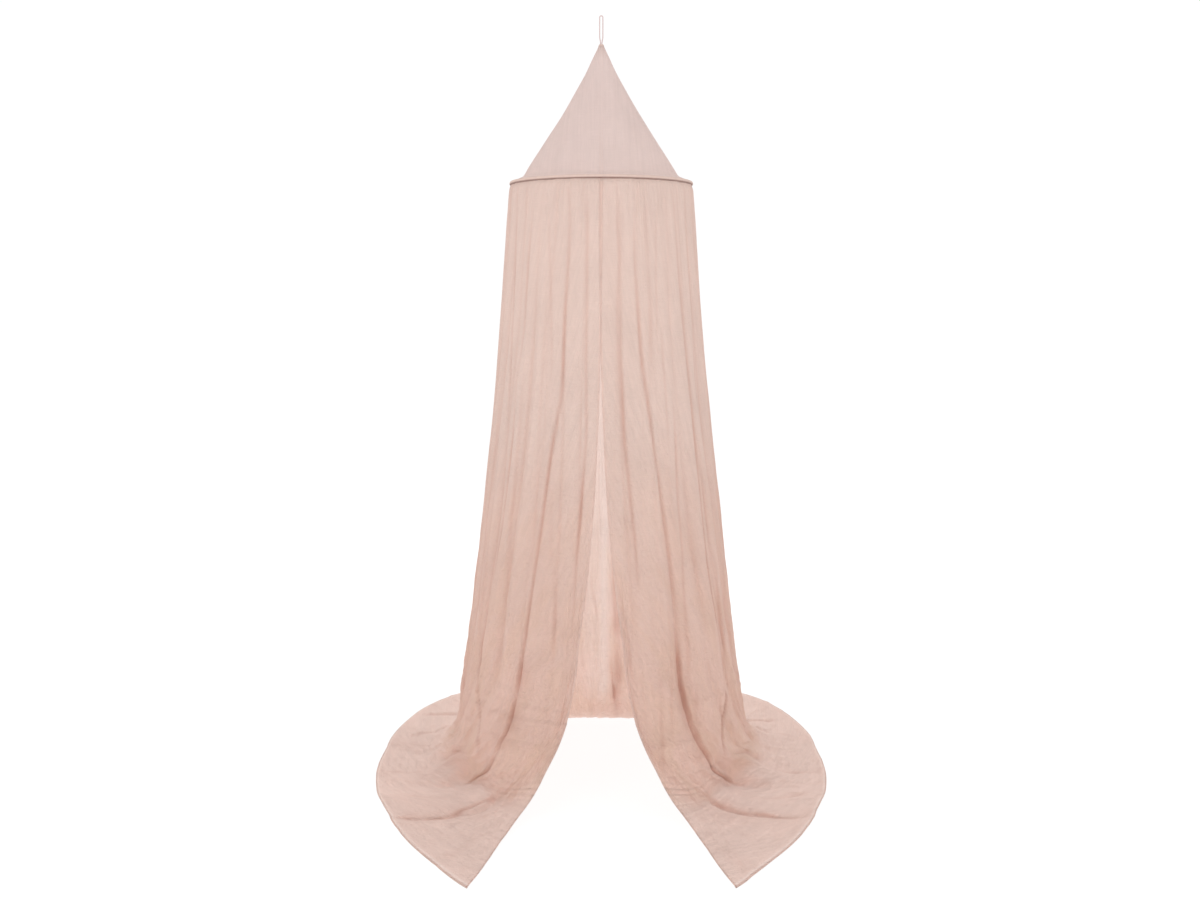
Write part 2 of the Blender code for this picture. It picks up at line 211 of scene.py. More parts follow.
# Creases on top of the folds: the side or sides, the depth, the width, the height of the lip on
# the far side, and the way down as pairs of a row of SECTIONS and an azimuth in degrees
TOE_CREASE_WAY = (
    (7.8, 34.2), (8.8, 35.4), (9.6, 37.0), (10.4, 39.5), (11.0, 42.3), (11.5, 44.6),
    (12.4, 48.8), (13.4, 56.9), (14.3, 62.8), (14.9, 66.0), (15.7, 68.6),
)
CREASES = (
    ("L", 0.0035, 0.0044, 0.0008, ((1.2, 8.5), (3.0, 8.0), (5.1, 7.4), (6.0, 9.2), (7.2, 13.0))),
    ("L", 0.0040, 0.0048, 0.0012, (
        (1.7, 19.0), (3.0, 18.6), (3.6, 20.4), (4.6, 20.8),
        (5.6, 25.5), (6.7, 30.0), (7.6, 33.0), (9.0, 35.6),
    )),
    ("L", 0.0044, 0.0040, 0.0008, ((2.0, 61.0), (3.0, 59.0), (4.4, 56.0), (5.4, 55.5))),
    ("R", 0.0044, 0.0040, 0.0008, ((1.9, 60.5), (3.2, 61.0), (4.0, 59.5), (5.2, 60.0))),
    ("L", 0.0026, 0.0040, 0.0006, ((1.5, 33.4), (4.2, 26.8), (5.2, 25.0))),
    ("L", 0.0026, 0.0048, 0.0006, ((5.8, 24.0), (6.5, 22.5), (7.3, 20.4), (8.6, 20.0))),
    ("L", 0.0046, 0.0046, 0.0014, (
        (1.5, 43.8), (3.8, 45.5), (4.5, 49.4), (5.3, 49.8), (6.4, 52.2), (6.9, 55.0),
        (7.6, 59.6), (8.7, 60.2), (9.9, 57.6), (11.6, 53.6), (12.3, 53.2),
    )),
    ("R", 0.0035, 0.0044, 0.0008, ((1.4, 9.0), (3.4, 10.8), (4.8, 10.4), (6.3, 14.5), (7.4, 17.0))),
    ("R", 0.0026, 0.0040, 0.0006, ((6.7, 8.9), (7.3, 9.2), (7.9, 11.5), (9.0, 14.0))),
    ("R", 0.0040, 0.0048, 0.0012, (
        (1.7, 18.0), (3.4, 19.8), (4.4, 22.4), (5.5, 27.3), (6.7, 31.6), (7.5, 33.4), (9.0, 36.4),
    )),
    ("R", 0.0026, 0.0040, 0.0006, ((1.2, 36.0), (2.0, 34.2), (3.3, 31.5), (4.4, 30.4))),
    ("R", 0.0046, 0.0046, 0.0014, (
        (0.8, 46.8), (3.0, 49.0), (4.8, 54.2), (6.0, 55.5), (7.0, 55.2), (7.6, 58.2),
        (8.4, 60.4), (9.9, 57.8), (11.6, 53.8), (12.3, 53.4),
    )),
    ("LR", 0.0105, 0.0050, 0.0050, TOE_CREASE_WAY),
    ("L", 0.0062, 0.0044, 0.0012, (
        (13.7, 43.2), (14.3, 45.4), (15.0, 46.9), (16.1, 48.1),
        (17.2, 49.7), (18.0, 52.3), (19.9, 59.2),
    )),
    ("R", 0.0062, 0.0044, 0.0012, (
        (13.5, 43.0), (14.1, 45.6), (15.7, 47.8), (16.6, 49.1),
        (17.2, 50.6), (18.6, 55.7), (20.0, 60.0),
    )),
    ("R", 0.0044, 0.0150, 0.0000, ((4.6, 173.5), (7.0, 171.8), (9.5, 171.0), (15.4, 172.0))),
    ("R", 0.0050, 0.0045, 0.0010, ((10.4, 174.8), (12.0, 173.8), (13.6, 172.6))),
    ("L", 0.0052, 0.0070, 0.0024, ((15.6, 132.5), (17.4, 129.0), (18.8, 125.0), (19.5, 124.0))),
    ("R", 0.0052, 0.0070, 0.0024, ((15.4, 127.8), (17.0, 124.2), (17.8, 122.2), (18.7, 121.0))),
    ("LR", 0.0038, 0.0070, 0.0020, (
        (15.0, 121.0), (16.3, 117.2), (16.9, 113.6), (17.7, 110.6), (18.8, 108.0),
    )),
    ("LR", 0.0034, 0.0070, 0.0012, ((16.4, 82.0), (17.5, 83.2), (19.0, 85.6), (19.7, 86.5))),
    ("LR", 0.0030, 0.0150, 0.0008, ((16.2, 55.0), (17.0, 59.5), (18.3, 70.4), (19.2, 76.0))),
    ("LR", 0.0040, 0.0140, 0.0020, ((11.6, 54.0), (12.9, 73.0), (14.2, 81.0), (15.4, 86.5))),
)
STRAY_SEED = 46
STRAY_CREASES = 64  # finer ones on either side, by chance
STRAY_LAST_ROW = 12.5
SHADED_DEPTH = 0.008  # a deeper crease has the cloth in front of it in its shadow

# Grid of the net
NET_COLUMNS = 372  # on either side of the middle of the back, beside the hem's own
CLOSER_COLUMNS = ((2.08, 0.22, 1.9), (3.10, 0.20, 1.3))  # at fold, as wide as, times closer
NET_ROWS = ((0.0, 9.0, 38), (9.0, 15.0, 42), (15.0, 19.7, 38))  # from row, to row, steps
SIDE_HEM_WIDTH = 0.006
SIDE_HEM_STEPS = 4
FOOT_HEM_ROWS = (19.84, 19.88, 19.92, 19.96, 20.0)
FOOT_HEM_STEPS = 3
SIDE_HEM_THICKNESS = 0.0006
FOOT_HEM_THICKNESS = 0.0012  # it holds the side hem's two layers at the corners

ROOF_ROWS = 96
ROOF_TURNS = 300
ROOF_SEAM_HALF_WIDTH = 0.0045
ROOF_STITCH_LINE = 0.0034  # from the seam's middle
ROOF_SEAM_STEPS = 14
ROOF_STITCHED_ROWS = slice(14, -16)
ROOF_OUTWARDS = (0.88, 0.47)  # about the cone's normal: away from its axis, and up
CASING_TURNS = 900
CASING_STEPS = 28
CASING_LAP = 0.42
CASING_SEAM = math.radians(308.0)  # where it is stitched through the net, outside and below

STITCH_LENGTH = 0.0030
STITCH_PITCH = 0.0044
STITCH_RADIUS = 0.00022
CORD_STRANDS = 3
CORD_LAY = 0.011  # length of one turn of its strands

CAMERA_PLACE = (-0.0035, -3.3, -0.71889)
CAMERA_TILT_DEG = 81.725  # from straight down
CAMERA_LENS = 34.668  # for a sensor 36 mm wide
LAMPS = (  # name, place, what it points at, size, power
    ("key", (-2.2, -3.6, 0.9), (0, 0, -1.1), 2.4, 34.0),
    ("fill", (2.6, -3.0, 0.2), (0, 0, -1.3), 2.6, 14.0),
    ("back", (0.2, 3.2, -0.2), (0, 0, -1.3), 2.6, 52.0),
)
FLOOR_REACH = 30.0

# Colours of a cloth's crests, of its darker places and of its lower part. The darker places are the
# net's valleys and the casing's underside, both painted shade, and the roof's tip
GAUZE_COLOURS = ((0.895, 0.752, 0.69, 1.0), (0.66, 0.37, 0.29, 1.0), (0.905, 0.66, 0.572, 1.0))
# the train's colour: paler, painted light from the glowing floor shining up through the cloth
UNDERLIT_TRAIN_COLOUR = (0.895, 0.67, 0.59, 1.0)
WARM_COLOUR = (0.87, 0.64, 0.51, 1.0)
ROOF_COLOURS = ((0.842, 0.72, 0.69, 1.0), (0.72, 0.58, 0.53, 1.0), (0.842, 0.72, 0.69, 1.0))
BINDING_COLOURS = ((0.78, 0.59, 0.52, 1.0), (0.22, 0.12, 0.10, 1.0), (0.78, 0.59, 0.52, 1.0))
HEM_COLOUR = (0.98, 0.82, 0.755, 1.0)  # painted light: lighter, to make up for the light that its two layers let through less
PAINTED_BACKLIGHT_COLOUR = (0.97, 0.88, 0.84, 1.0)  # painted light down the middle of the back, where it is lit from behind
WHITE = (1.0, 1.0, 1.0, 1.0)
CLOTH_FINISH = {
    "Sheen Weight": 0.1,
    "Sheen Roughness": 0.5,
    "Sheen Tint": (1.0, 0.93, 0.90, 1.0),
    "Specular IOR Level": 0.2,
}
FLOOR_FINISH = {
    "Base Color": (0.20, 0.20, 0.20, 1.0),
    "Roughness": 1.0,
    "Specular IOR Level": 0.0,
    "Emission Color": WHITE,
    "Emission Strength": 0.87,
}


# --- Shapes worked out on grids ---------------------------------------------------------------


def columns(names, rows):
    """A table as one array for each named column."""
    return dict(zip(names, np.array(rows, dtype=float).T))


def along_rows(values, at):
    """A smooth curve through one value for each row of a table, read at fractional rows."""
    padded = np.concatenate(([2 * values[0] - values[1]], values, [2 * values[-1] - values[-2]]))
    row = np.clip(np.floor(at).astype(int), 0, len(values) - 2)
    t = at - row
    before, start, end, after = (padded[row + k] for k in range(4))
    return 0.5 * (
        2 * start
        + (end - before) * t
        + (2 * before - 5 * start + 4 * end - after) * t**2
        + (3 * start - before - 3 * end + after) * t**3
    )


def smooth_step(start, end, x):
    """0 before start, 1 after end, and 3t^2 - 2t^3 between them."""
    t = np.clip((x - start) / (end - start), 0.0, 1.0)
    return t * t * (3.0 - 2.0 * t)


def window(start, full, fading, end, x):
    """A smooth step up from start to full, times one down from fading to end."""
    return smooth_step(start, full, x) * (1.0 - smooth_step(fading, end, x))


def bell(x, middle, width):
    """exp(-((x - middle) / width)^2)."""
    return np.exp(-(((x - middle) / width) ** 2))


def soft_noise(across, down, seed):
    """Chance values on a unit lattice, joined by smoothstep: about -1 to 1, one bump a cell."""
    size = 64, 1024
    lattice = np.random.default_rng(seed).uniform(-1.0, 1.0, size)
    row, column = np.floor(down).astype(int), np.floor(across).astype(int)
    t, s = smooth_step(0.0, 1.0, down - row), smooth_step(0.0, 1.0, across - column)
    low, high = row % size[0], (row + 1) % size[0]
    left, right = column % size[1], (column + 1) % size[1]
    upper = lattice[low, left] * (1 - s) + lattice[low, right] * s
    lower = lattice[high, left] * (1 - s) + lattice[high, right] * s
    return upper * (1 - t) + lower * t


def azimuths(points):
    """Degrees from the front of points on either side."""
    return np.degrees(np.arctan2(np.abs(points[..., 0]), -points[..., 1]))


def lengths_along(points, axis=0):
    """Distance from the start along a path, or along each column or row of a grid."""
    steps = np.linalg.norm(np.diff(points, axis=axis), axis=-1)
    none = np.zeros_like(np.take(steps, [0], axis=axis))
    return np.concatenate((none, np.cumsum(steps, axis=axis)), axis=axis)


def grid_normals(points):
    """Unit normals of a grid: the cross product of its two directions."""
    down = np.gradient(points, axis=0)
    across = np.gradient(points, axis=1)
    normal = np.cross(down, across)
    return normal / np.maximum(np.linalg.norm(normal, axis=-1, keepdims=True), 1e-12)


def grid_faces(shape, wrap=False):
    """Four-cornered faces of a grid of points, closed round its columns if wrap."""
    number = np.arange(shape[0] * shape[1]).reshape(shape)
    if wrap:
        number = np.concatenate((number, number[:, :1]), axis=1)
    return np.stack(
        (number[:-1, :-1], number[1:, :-1], number[1:, 1:], number[:-1, 1:]), axis=-1
    ).reshape(-1, 4)


def put_object(name, data):
    """An object of that name and data, in the scene."""
    made = bpy.data.objects.new(name, data)
    bpy.context.scene.collection.objects.link(made)
    return made


def put_mesh(name, points, faces, material, uv=None, values=None, smooth=True):
    """A mesh object from arrays: points, faces, one UV pair and named values for each point."""
    points = points.reshape(-1, 3)
    mesh = bpy.data.meshes.new(name)
    mesh.vertices.add(len(points))
    mesh.vertices.foreach_set("co", points.astype(np.float32).ravel())
    sides = faces.shape[1]
    mesh.loops.add(faces.size)
    mesh.loops.foreach_set("vertex_index", faces.astype(np.int32).ravel())
    mesh.polygons.add(len(faces))
    mesh.polygons.foreach_set("loop_start", np.arange(0, faces.size, sides, dtype=np.int32))
    mesh.polygons.foreach_set("use_smooth", np.full(len(faces), smooth))
    if uv is not None:
        layer = mesh.uv_layers.new(name="cloth")
        layer.data.foreach_set("uv", uv.reshape(-1, 2)[faces.ravel()].astype(np.float32).ravel())
    for key, value in (values or {}).items():
        store = mesh.attributes.new(key, "FLOAT", "POINT")
        store.data.foreach_set("value", value.astype(np.float32).ravel())
    mesh.update(calc_edges=True)
    mesh.validate()
    mesh.materials.append(material)
    return put_object(name, mesh)


# --- The net ----------------------------------------------------------------------------------


def fold_table(side):
    """The columns of FOLDS for one side of the net, uneven in that side's own way."""
    edge = LEFT_EDGE if side < 0 else RIGHT_EDGE
    table = columns(FOLD_COLUMNS, (edge,) + FOLDS)
    chance = np.random.default_rng(UNEVEN_SEED + side)
    stray = chance.uniform(-UNEVEN_DEG, UNEVEN_DEG, HALF_FOLDS - 1)
    for column in ("ring", "low", "foot", "hem"):
        table[column][1:-1] += stray
    table["depth"][1:-1] *= 1.0 + chance.uniform(-UNEVEN_DEPTH, UNEVEN_DEPTH, HALF_FOLDS - 1)
    return table


def plain_way(fold, part, swing, sweep):
    """Azimuth and radius of the net without its valleys, from the hoop to the foot and the hem.

    Azimuth is ring + swing (low - ring) + sweep (foot - low) + spread (hem - foot). Radius goes
    from the section's own, with flare, to the foot's by reach and on to the hem's by spread.
    """
    azimuth = (
        fold["ring"]
        + swing * (fold["low"] - fold["ring"])
        + sweep * (fold["foot"] - fold["low"])
        + part["spread"] * (fold["hem"] - fold["foot"])
    )
    hanging = HOOP_RADIUS + fold["flare"] * (part["radius"] - HOOP_RADIUS)
    radius = hanging + part["reach"] * (fold["foot_radius"] - hanging)
    return azimuth, radius + part["spread"] * (fold["hem_radius"] - fold["foot_radius"])


def landing_moves(edge, part, fold_at, row_at):
    """What takes the front panels from their plain way to that of LANDING, most at the edge:
    in azimuth, radius and height."""
    way = columns(LANDING_COLUMNS, LANDING)
    at = np.clip(row_at - way["row"][0], 0, len(LANDING) - 1)
    front = bell(fold_at, 0.0, 1.3) * smooth_step(9.0, 10.5, row_at[:, None])
    plain = (*plain_way(edge, part, 1.0, part["sweep"]), part["height"])
    wanted = (along_rows(way[name], at)[:, None] for name in LANDING_COLUMNS[1:])
    return [(there - here) * front for there, here in zip(wanted, plain)]


def side_turn(fold_at, row_at):
    """How far out, and how much higher, SIDE_TURN takes the net at its sides."""
    turn = columns(SIDE_TURN_COLUMNS, SIDE_TURN)
    at = np.clip(row_at - turn["row"][0], 0, len(SIDE_TURN) - 1)
    at_side = window(2.6, 3.7, 6.5, 13.0, fold_at)
    return [at_side * along_rows(turn[name], at)[:, None] for name in SIDE_TURN_COLUMNS[1:]]


def valleys(side, fold_at, down, lift):
    """The place across the folds, a broad valley and a pinch at its bottom, and their strength.

    The broad valley is (0.5 + 0.5 cos(2 pi f))^1.3 at the place f, which wanders a little from
    fold_at, and the pinch is a bell on it. Their strength comes and goes on the way down.
    """
    wander = 0.20 * soft_noise(fold_at * 0.9 + 40, down * 0.8, 31 + side)
    wander = wander * smooth_step(0.0, 0.8, fold_at)
    crossing = fold_at + wander * (1.0 - 0.8 * lift)
    nearest = np.round(crossing)
    broad = (0.5 + 0.5 * np.cos(math.tau * crossing)) ** 1.3
    pinch = bell(crossing, nearest, 0.075)
    uneven = 0.9 + 0.6 * soft_noise(nearest * 7.3 + 3, down * 0.6, 51 + side)
    uneven = np.clip(uneven, 0.2, 1.6)
    uneven = uneven + (1.0 - uneven) * lift
    return crossing, broad, pinch, valley_weights(nearest, down) * uneven


def floor_folds(crossing, broad, fold_at, spread):
    """How high the folds stand up on the floor, times the section's fold, and how far over in
    metres they lean.

    A fold's crest is 1 less the broad valley. The lobe's and the toe's are steeper in front,
    where they lean over the cloth before them.
    """
    within = np.clip(np.floor(crossing), 0, HALF_FOLDS - 1)
    share = crossing - within
    rises = columns(RISE_COLUMNS, RISES)
    middles = np.arange(HALF_FOLDS) + 0.5
    rise = np.interp(fold_at, middles, rises["foot"])
    rise = rise + (np.interp(fold_at, middles, rises["hem"]) - rise) * spread**0.5
    crest = 1.0 - broad
    lobe = window(0.0, 0.20, 0.30, 1.0, share)
    toe = window(0.0, 0.24, 0.35, 1.0, share)
    toe = toe + (crest - toe) * smooth_step(0.1, 0.5, spread)
    crest = np.where(within == LOBE_FOLD, lobe, np.where(within == TOE_FOLD, toe, crest))
    lobe_lean = LOBE_LEAN * bell(share, 0.17, 0.12) * (0.5 + 0.7 * spread)
    lobe_lean = lobe_lean * (1.0 - 0.6 * smooth_step(0.8, 1.0, spread))
    toe_lean = TOE_LEAN * bell(share, 0.18, 0.12) * (1.0 - smooth_step(0.05, 0.35, spread))
    lean = np.where(within == LOBE_FOLD, lobe_lean, np.where(within == TOE_FOLD, toe_lean, 0.0))
    return rise * crest, lean


def half_net(side, fold_at, row_at):
    """Points of the left (-1) or right (+1) half of the net, and the painted shade that its valleys
    get.

    plain_way is bowed at the lobe and moved by LANDING at the front panels and by SIDE_TURN at
    the sides. Valleys cut inwards on the hanging part, and on the floor the folds between them
    stand up.
    """
    table = fold_table(side)
    fold = {name: along_rows(values, fold_at) for name, values in table.items()}
    part = {
        name: along_rows(values, row_at)[:, None]
        for name, values in columns(SECTION_COLUMNS, SECTIONS).items()
    }
    for share in ("swing", "sweep", "reach", "spread", "lift"):
        part[share] = np.clip(part[share], 0.0, 1.0)
    lift, spread = part["lift"], part["spread"]
    sweep = part["sweep"] ** (1.0 + 0.35 * bell(fold_at, 2.6, 1.2))
    azimuth, radius = plain_way(fold, part, part["swing"] ** fold["delay"], sweep)
    azimuth = azimuth - LOBE_BOW_DEG * np.sin(math.pi * spread) * bell(fold_at, 2.0, 0.7)

    edge = {name: values[0] for name, values in table.items()}
    turned, moved, raised = landing_moves(edge, part, fold_at, row_at)
    outwards, higher = side_turn(fold_at, row_at)
    azimuth = azimuth + turned
    radius = radius + moved + outwards

    crossing, broad, pinch, strength = valleys(side, fold_at, row_at[:, None], lift)
    cut = fold["depth"] * strength * (BROAD_SHARE * broad + PINCH_SHARE * pinch)
    radius = radius - cut * (1.0 - lift) * part["fold"]
    if side > 0:
        radius = radius - EDGE_TUCK * (1.0 - smooth_step(0.1, 0.9, fold_at))

    crest, lean = floor_folds(crossing, broad, fold_at, spread)
    height = part["height"] + raised + higher + lift * part["fold"] * crest
    angle = np.radians(azimuth) - lift * lean / radius
    x = side * radius * np.sin(angle)
    y = -radius * np.cos(angle)
    points = np.stack((x, y, FLOOR_Z + height), axis=-1)
    # painted shade: the valleys of the hanging part darker, most at a valley's pinch
    darkening = strength * (0.18 * broad + 0.4 * pinch) * (1.0 - lift)
    return points, np.clip(darkening, 0.0, 1.2)


def stray_creases(side):
    """Chance creases and ridges of one side, 1.6 to 5 rows long. They lean a little either way."""
    chance = np.random.default_rng(STRAY_SEED + side)
    found = []
    for _ in range(STRAY_CREASES):
        start, length = chance.uniform(0.8, 10.0), chance.uniform(1.6, 5.0)
        azimuth, drift = chance.uniform(6.0, 178.0), chance.normal(0.0, 1.2)
        depth, width = chance.uniform(0.0007, 0.0024), chance.uniform(0.0035, 0.0075)
        if chance.uniform() < 0.4:
            depth = -0.7 * depth
        end = min(start + length, STRAY_LAST_ROW)
        rows = (start, (start + end) / 2, end)
        way = [(row, azimuth * (1 + 0.012 * row) + drift * (row - start)) for row in rows]
        found.append(("", depth, width, 0.25 * abs(depth), way))
    return found


def crease(points, row_at, side):
    """How far the creases of one half push each point along the normal, and how much painted shade
    they put on it.

    Across a crease, with s metres from its line and width w, the push is
    -depth exp(-(s / w)^2) + lip exp(-((s - 1.9 w) / 1.3 w)^2). Its line wavers, and along it the
    depth comes and goes.
    """
    azimuth = azimuths(points)
    radius = np.hypot(points[..., 0], points[..., 1])
    push, painted_crease_shade = np.zeros(azimuth.shape), np.zeros(azimuth.shape)
    own = [made for made in CREASES if "LR"[side > 0] in made[0]]
    for number, (_, depth, width, lip, way) in enumerate(own + stray_creases(side)):
        rows, places = np.array(way).T
        near = (row_at >= rows[0]) & (row_at <= rows[-1])
        row = row_at[near]
        ends = min(1.2, 0.4 * (rows[-1] - rows[0]))
        fade = window(rows[0], rows[0] + ends, rows[-1] - ends, rows[-1], row)
        along = np.full(len(row), number * 3.7)
        fade = fade * np.clip(0.85 + 0.6 * soft_noise(along, row * 1.3, 91 + side), 0.2, 1.4)
        fade = (fade * (0.45 + 0.55 * smooth_step(2.5, 6.5, row)))[:, None]
        waver = 0.0035 * soft_noise(along + 1.5, row * 1.7, 95 + side)
        off = azimuth[near] - np.interp(row, rows, places)[:, None]
        off = np.radians(off) * radius[near] + waver[:, None]
        groove = bell(off, 0.0, width) * fade
        push[near] += lip * bell(off, 1.9 * width, 1.3 * width) * fade - depth * groove
        # painted shade in each crease's groove, less where it lies on the floor
        settled = 1.0 - 0.30 * smooth_step(12.5, 14.2, row)[:, None]
        painted_crease_shade[near] += groove * np.clip(depth / 0.004, -0.3, 1.5) * settled
        # painted shadow on the cloth in front of a deeper crease
        if depth > SHADED_DEPTH:
            shadow = 0.6 * bell(off, 0.0, 0.040) * (off < 0) * fade
            painted_crease_shade[near] += shadow * (1.0 - smooth_step(11.0, 13.0, row))[:, None]
    return push, painted_crease_shade


def valley_weights(nearest, down):
    """How strong each valley is at each row: its own six weights, joined by straight lines."""
    weights = np.array(VALLEY_WEIGHTS)[np.clip(nearest, 0, HALF_FOLDS).astype(int)]
    rows = np.array(WEIGHT_ROWS)
    place = np.clip(np.broadcast_to(down, nearest.shape), rows[0], rows[-1] - 1e-6)
    last = np.searchsorted(rows, place, side="right") - 1
    share = (place - rows[last]) / (rows[last + 1] - rows[last])
    before = np.take_along_axis(weights, last[..., None], axis=-1)[..., 0]
    after = np.take_along_axis(weights, last[..., None] + 1, axis=-1)[..., 0]
    return before + (after - before) * share


def edge_columns(side, row_at):
    """Fold positions of a half's columns: the hem's at fixed distances from the edge, then even.

    A distance d along the cloth is d / w folds, where w is how wide a fold is there.
    """
    near = 0.15
    pair, _ = half_net(side, np.tile((0.0, near), (len(row_at), 1)), row_at)
    width = np.linalg.norm(pair[:, 1] - pair[:, 0], axis=-1) / near
    hem = np.linspace(0.0, SIDE_HEM_WIDTH, SIDE_HEM_STEPS + 1) / width[:, None]
    at = np.linspace(0.0, HALF_FOLDS, 4001)
    closeness = 0.75 + 0.55 * (1.0 - smooth_step(4.0, 7.0, at))
    for middle, reach, times in CLOSER_COLUMNS:
        closeness = closeness + times * bell(at, middle, reach)
    count = np.concatenate(((0.0,), np.cumsum((closeness[1:] + closeness[:-1]) / 2)))
    even = np.linspace(0.0, 1.0, NET_COLUMNS + 1)[1:]
    share = np.interp(even, count / count[-1], at / HALF_FOLDS)
    rest = hem[:, -1:] + share * (HALF_FOLDS - hem[:, -1:])
    return np.concatenate((hem, rest), axis=1)


def net_rows():
    """Fractional rows of SECTIONS, closer together at the foot, then the hem's own."""
    spans = [np.linspace(start, end, steps + 1)[:-1] for start, end, steps in NET_ROWS]
    return np.concatenate(spans + [(NET_ROWS[-1][1],), FOOT_HEM_ROWS])


def turned_under(grid, normals, steps, thickness):
    """Rows that carry a grid on past its last one, folded under and back by a hem's width."""
    under = grid[-1 - steps :] - normals[-1 - steps :] * thickness
    outward = grid[-1] - grid[-2]
    outward /= np.maximum(np.linalg.norm(outward, axis=-1, keepdims=True), 1e-9)
    bend = grid[-1] - normals[-1] * thickness / 2 + outward * thickness / 2
    return np.concatenate((grid, bend[None], under[::-1]))


def fold_hem(sheet, edge, normals):
    """The arrays of a sheet, carried on past its left, right or foot edge by a hem folded under."""
    at_foot = edge == "foot"
    steps = FOOT_HEM_STEPS if at_foot else SIDE_HEM_STEPS - 1
    thickness = FOOT_HEM_THICKNESS if at_foot else SIDE_HEM_THICKNESS

    def edge_last(value):
        value = value if at_foot else value.swapaxes(0, 1)
        return value[::-1] if edge == "left" else value

    def as_before(value):
        value = value[::-1] if edge == "left" else value
        return value if at_foot else value.swapaxes(0, 1)

    grown = {}
    for name, value in sheet.items():
        value = edge_last(value)
        if name == "points":
            value = turned_under(value, edge_last(normals), steps, thickness)
        else:
            value = np.concatenate((value, value[-1:], value[-1 - steps :][::-1]))
        grown[name] = as_before(value)
    return grown


def fine_gathers(across, down, drop):
    """Two uneven sines across the cloth, strongest just under the casing, and faint 1 m below."""
    gather = np.sin(across * 23.0 + 2.2 * soft_noise(across * 2.1, down * 0.5, 3))
    gather = gather + 0.7 * np.sin(across * 13.7 + 2.6 * soft_noise(across * 1.3, down * 0.4, 4))
    gather = gather * (0.0006 * np.exp(-drop / 0.10) + 0.00025 * np.exp(-drop / 0.6))
    return gather * smooth_step(0.0, 0.02, drop)


def painted_backlight_band(points, down):
    """Painted light down the middle of the back, lit from behind: two upright bands that overlap."""
    x = points[..., 0]
    painted_backlight = 0.6 * bell(x, 0.009, 0.016) + 0.4 * np.exp(-(((x + 0.020) / 0.040) ** 4))
    return painted_backlight * smooth_step(0.0, 0.2, points[..., 1]) * window(4.0, 6.5, 12.0, 13.5, down)


